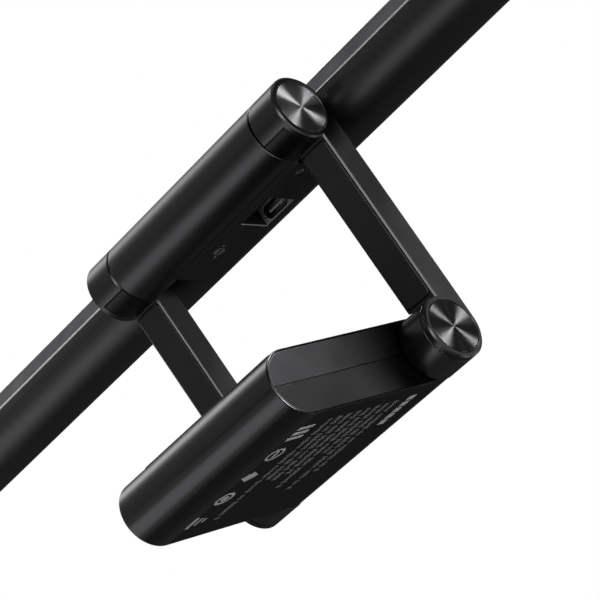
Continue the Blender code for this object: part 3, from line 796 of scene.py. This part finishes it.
for side, mirror in SIDES:
    profile = [(BAR_HALF, 0.0)] + [(BAR_HALF + back, BAR_R - inset) for inset, back in edge_steps(0.15, 2)]
    profile += [(BAR_HALF + 3.0 - back, BAR_R - inset) for inset, back in reversed(edge_steps(0.8, 6))]
    profile += [(BAR_HALF + 3.0, 7.4), (BAR_HALF + 2.75, 7.2), (BAR_HALF + 2.75, 0.0)]
    emit("bar_end_" + side, moved(lathe(profile, 128), TOP), LOOKS["plastic"], "light_head", "matt_black_plastic",
         "end_cap_" + side, mirror=mirror)


# ---------------------------------------------------------------- counterweight

# SWING places what is turned with the counterweight about the hinge, MIDDLE what is centred on its sleeve.
SWING = Matrix.Translation((0.0, HINGE.y, HINGE.z)) @ Matrix.Rotation(math.radians(WEIGHT_TILT), 4, "X")
MIDDLE = SWING @ Matrix.Translation((0.0, WEIGHT_MIDDLE, 0.0))

sleeve = rounded_tube(lambda inset: stadium(WEIGHT_R - inset), WEIGHT_WALL, -WEIGHT_HALF, WEIGHT_HALF, 0.45)
# the flat rear face takes the darker copy of the anodising: painted shade
paint(sleeve, 1, lambda face: face.normal.y > 0.9999)
emit("weight_shell", moved(sleeve, MIDDLE), LOOKS["weight"], "counterweight", "anodised_black", "weight_sleeve",
     extra=(LOOKS["label_shade"],))


def half_stadium(inset, sign):
    """Half of the sleeve's inner section: the rear half for sign 1, the front half for -1."""
    radius = WEIGHT_R - WEIGHT_WALL - 0.12 - inset
    lean = math.degrees(math.asin((0.1 + inset) / radius))
    if sign > 0:
        return arc(0.0, -WEIGHT_DROP, radius, -90.0 + lean, 0.0, 24) + arc(0.0, 0.0, radius, 0.0, 90.0 - lean, 24)
    return arc(0.0, 0.0, radius, 90.0 + lean, 180.0, 24) + arc(0.0, -WEIGHT_DROP, radius, 180.0, 270.0 - lean, 24)


for side, mirror in SIDES:
    for half, sign in (("rear", 1), ("front", -1)):
        cap = rounded_prism(lambda inset: half_stadium(inset, sign), WEIGHT_HALF - 2.4, WEIGHT_HALF - 0.1, 0.12)
        cap = carve(moved(cap, MIDDLE), moved(prism(circle(PIN_BORE_R, 48), 20.0, 40.0), SWING))
        # each half takes its own copy of the cap finish, painted lighter at the front and darker at the rear, with
        # painted shade near the hinge
        emit("weight_end_" + half + "_" + side, cap, LOOKS["cap_" + half], "counterweight", "matt_black_plastic",
             "weight_cap_" + half + "_" + side, mirror=mirror)
    stub = rounded_tube(lambda inset: circle(BOSS_R - inset, 144), BOSS_R - PIN_BORE_R, WEIGHT_HALF + 0.3,
                        ARM_OUT - PLATE - 0.3, 0.25)
    # the boss takes the copy of the anodising painted lighter
    emit("hinge_boss_" + side, moved(stub, SWING), LOOKS["boss"], "counterweight", "anodised_black",
         "hinge_stub_" + side, mirror=mirror)


def grip_ring(inset, y):
    """The grip pad's outline, drawn in by inset, at y."""
    outline = rounded_box(-WEIGHT_DROP + 1.0 + inset, -12.0 - inset, -29.0 + inset, 29.0 - inset, 1.5 - inset)
    return [(x, y, z) for z, x in outline]


grip_back = WEIGHT_MIDDLE - WEIGHT_R - 0.3
grip = solid([grip_ring(0.0, grip_back)] +
             [grip_ring(inset, grip_back - 0.9 + back) for inset, back in reversed(edge_steps(0.25, 3))])
grooves = []
for i in range(9):
    z = -15.5 - i * 3.7
    grooves.append(prism([(grip_back - 1.5, z - 0.45), (grip_back - 0.62, z - 0.25), (grip_back - 0.62, z + 0.25),
                          (grip_back - 1.5, z + 0.45)], -27.0, 27.0))
emit("grip_rubber", moved(carve(grip, *grooves), SWING), LOOKS["silicone"], "counterweight", "dark_silicone",
     "weight_grip_pad")


# ---------------------------------------------------------------- plain marks where the counterweight is printed

def flat_mark(outline):
    """A thin mark on the rear face from (x, z) points."""
    rings = [[(x, WEIGHT_R + up, z) for x, z in outline] for up in (0.0, PRINT_HEIGHT)]
    return moved(solid(rings), MIDDLE)


def bar_mark(x0, x1, z0, z1):
    return flat_mark([(x0, z0), (x1, z0), (x1, z1), (x0, z1)])


def ring_mark(x, z, outer, inner):
    bm = bmesh.new()
    rings = []
    for radius, up in ((outer, 0.0), (outer, PRINT_HEIGHT), (inner, PRINT_HEIGHT), (inner, 0.0)):
        rings.append([(x + a, WEIGHT_R + up, z + b) for a, b in circle(radius, 48)])
    skin(bm, rings, closed=True)
    return moved(bm, MIDDLE)


# the height of each row of small ticks, and where it stops; each starts at ROW_START, and gaps make groups in it
ROWS = ((-13.3, -8.7), (-17.1, -16.9), (-20.7, 2.3), (-24.4, -13.2), (-28.0, -4.8), (-31.8, -6.6), (-35.4, -5.8),
        (-39.1, -23.3))
ROW_START = 28.5
TICK_GAP = 0.4
GROUP_GAP = 0.9
draw = random.Random(7)
ticks = []
for z, x_end in ROWS:
    x = ROW_START
    left = 0
    while x > x_end + 1.0:
        if left == 0:
            left = draw.randint(2, 6)
            x -= GROUP_GAP
        width = draw.uniform(0.75, 1.2)
        tall = draw.choice((0.7, 0.95, 1.05))
        ticks.append(bar_mark(x - width, x, z - tall, z + tall))
        x -= width + TICK_GAP
        left -= 1
emit("weight_dashes", merged(ticks), LOOKS["faint_print"], "counterweight", "anodised_black")

SYMBOL_Z = -47.2
bold = [bar_mark(13.6 + i * 3.1, 15.9 + i * 3.1, -8.6, -5.9) for i in range(5)]
bold += [ring_mark(-10.0, SYMBOL_Z, 3.1, 2.2), ring_mark(-10.0, SYMBOL_Z, 1.3, 0.01)]
bold += [flat_mark([(1.4 - 2.6, SYMBOL_Z), (1.4, -50.3), (1.4 + 2.6, SYMBOL_Z), (1.4, -44.1)])]
bold += [ring_mark(12.6, SYMBOL_Z, 3.0, 2.3), bar_mark(10.9, 14.3, -47.6, -46.8)]
bold += [bar_mark(x0, x1, -50.2, -44.2) for x0, x1 in ((20.2, 21.6), (22.8, 24.2), (25.4, 26.8))]
bold += [bar_mark(-25.0, -19.2, -50.3, -48.9), bar_mark(-24.0, -20.2, -47.6, -46.8),
         bar_mark(-23.2, -21.0, -45.6, -44.8)]
emit("weight_marks", merged(bold), LOOKS["print"], "counterweight", "anodised_black")


# ---------------------------------------------------------------- CAD nodes that stay as they are

for node in ("tilt_axle", "rear_hinge_pin_left", "rear_hinge_pin_right", "steel_weight"):
    repaint(node, LOOKS["steel"])
for node in ("friction_sleeve_left", "friction_sleeve_right"):
    repaint(node, LOOKS["bush"])
repaint("led_rail", LOOKS["aluminium"])
repaint("led_strip", LOOKS["board"])
repaint("control_board", LOOKS["board"])


# ---------------------------------------------------------------- camera, light and floor, in metres

CAMERA_FROM_BARREL = Vector((0.47015, 0.17196, -0.56779))
CAMERA_RIGHT = Vector((0.57495, 0.55694, 0.59937))
CAMERA_UP = Vector((0.53312, -0.81071, 0.24192))
CAMERA_BACK = Vector((0.62065, 0.18045, -0.76304))
AIM = BARREL_AT + Vector((0.0, 0.035, 0.0))
LAMP_REACH = 1.2                                # from AIM, or less for a lamp that would get below LAMP_DEPTH
LAMP_DEPTH = 0.52
AMBIENT = 0.05
FLOOR_DROP = 1.3                                # below the barrel, clear of the views from below
FLOOR_HALF = 40.0
WHITE = (1.0, 1.0, 1.0, 1.0)


def stand_at(place, x_axis, y_axis, z_axis):
    return Matrix.Translation(place) @ Matrix((x_axis, y_axis, z_axis)).transposed().to_4x4()


camera_data = bpy.data.cameras.new("camera")
camera_data.sensor_width = 36.0
camera_data.lens = 167.74
camera_data.clip_start = 0.01
camera_data.clip_end = 100.0
camera = add_object("camera", camera_data)
camera.matrix_world = stand_at(BARREL_AT + CAMERA_FROM_BARREL, CAMERA_RIGHT, CAMERA_UP, CAMERA_BACK)
bpy.context.scene.camera = camera
bpy.context.scene.view_settings.view_transform = "Standard"


def from_left(turn):
    """The direction, leaning to the far end, whose light comes back to the camera off a tube along X."""
    return (-0.62, 0.785 * math.cos(math.radians(turn)), 0.785 * math.sin(math.radians(turn)))


# name, direction of the lamp, its length along X and its width at one metre, its power at one metre
LIGHTS = (
    ("strip_high", from_left(166.0), 1.6, 0.34, 4.4),
    ("strip_high_soft", from_left(166.0), 1.6, 0.90, 1.9),
    ("strip_front", from_left(228.0), 1.6, 0.60, 0.75),
    ("strip_low", from_left(293.0), 1.6, 0.45, 2.0),
    ("strip_low_soft", from_left(290.0), 1.6, 1.00, 1.6),
    ("strip_rear", from_left(8.0), 1.6, 1.0, 0.26),
    ("disc_high", (0.54, -0.70, 0.47), 0.4, 0.4, 11.5),
    ("disc_side", (0.98, 0.19, -0.06), 0.4, 0.4, 14.5),
    ("edge_low", (0.763, -0.18, -0.62), 0.35, 0.35, 2.2),
    ("edge_back", (0.41, 0.80, 0.44), 0.3, 0.3, 0.6),
    ("edge_rear", (0.09, 0.52, 0.84), 0.3, 0.3, 0.6),
)
for name, direction, length, width, power in LIGHTS:
    toward = Vector(direction).normalized()
    reach = min(LAMP_REACH, LAMP_DEPTH / max(0.01, -toward.z))
    lamp_data = bpy.data.lights.new(name, "AREA")
    lamp_data.shape = "RECTANGLE"
    lamp_data.size = length * reach
    lamp_data.size_y = width * reach
    lamp_data.energy = power * reach ** 2
    lamp = add_object(name, lamp_data)
    along = (Vector((1.0, 0.0, 0.0)) - toward * toward.x).normalized()
    lamp.matrix_world = stand_at(AIM + toward * reach, along, toward.cross(along), toward)
    lamp.visible_camera = False

# The camera sees a white world, and the object gets only a weak even light from it.
world = bpy.data.worlds.new("studio")
bpy.context.scene.world = world
world.use_nodes = True
tree = world.node_tree
seen = tree.nodes["Background"]
seen.inputs["Color"].default_value = WHITE
seen.inputs["Strength"].default_value = 1.0
soft = add_node(tree, "ShaderNodeBackground", {"Color": WHITE, "Strength": AMBIENT})
paths = tree.nodes.new("ShaderNodeLightPath")
mix = tree.nodes.new("ShaderNodeMixShader")
tree.links.new(paths.outputs["Is Camera Ray"], mix.inputs["Fac"])
tree.links.new(soft.outputs["Background"], mix.inputs[1])
tree.links.new(seen.outputs["Background"], mix.inputs[2])
tree.links.new(mix.outputs["Shader"], tree.nodes["World Output"].inputs["Surface"])

pale = finish("pale_floor", (0.80, 0.80, 0.80), PLASTIC, 0.7, grain=40.0, relief=0.0, tint=0.01, spread=0.02,
              mottle=300.0)
pale.node_tree.nodes["Principled BSDF"].inputs["Emission Color"].default_value = WHITE
pale.node_tree.nodes["Principled BSDF"].inputs["Emission Strength"].default_value = 0.74
floor_z = BARREL_AT.z - FLOOR_DROP
floor_mesh = bpy.data.meshes.new("floor")
floor_mesh.from_pydata([(x, y, floor_z) for x, y in ((-FLOOR_HALF, -FLOOR_HALF), (FLOOR_HALF, -FLOOR_HALF),
                                                     (FLOOR_HALF, FLOOR_HALF), (-FLOOR_HALF, FLOOR_HALF))],
                       [], [(0, 1, 2, 3)])
floor_mesh.materials.append(pale)
floor = add_object("floor", floor_mesh)
floor.visible_diffuse = False
floor.visible_glossy = False
floor.visible_shadow = False
